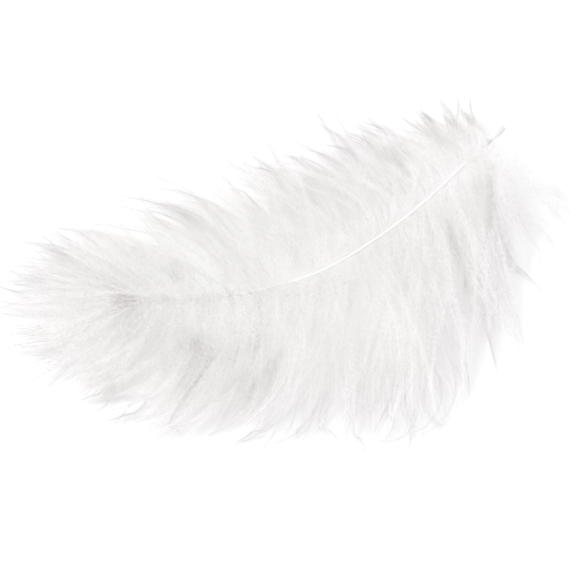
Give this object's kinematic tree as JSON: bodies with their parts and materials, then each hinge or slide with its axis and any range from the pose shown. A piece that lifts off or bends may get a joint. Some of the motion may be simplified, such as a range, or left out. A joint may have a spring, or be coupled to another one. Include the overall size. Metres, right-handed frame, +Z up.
{
  "type": "marabou feather",
  "caption": "White marabou feather lying domed on its underside: a tapering shaft with a bare quill end and long, soft, wispy down along both sides and around the tip.",
  "frame": {"origin": "middle of the feather's outline, at the surface that its down rests on", "axes": "+X from the feather's tip towards its bare quill end, +Y to the far side of the shaft, +Z up, out of the upper side of the feather"},
  "size_m": [0.1327, 0.0906, 0.0149],
  "materials": {
    "keratin": "satin",
    "down": "matte"
  },
  "bodies": {
    "root": {"shaft": "keratin", "near_vane": "down", "far_vane": "down", "tip_tuft": "down", "base_down": "down"}
  },
  "joints": []
}
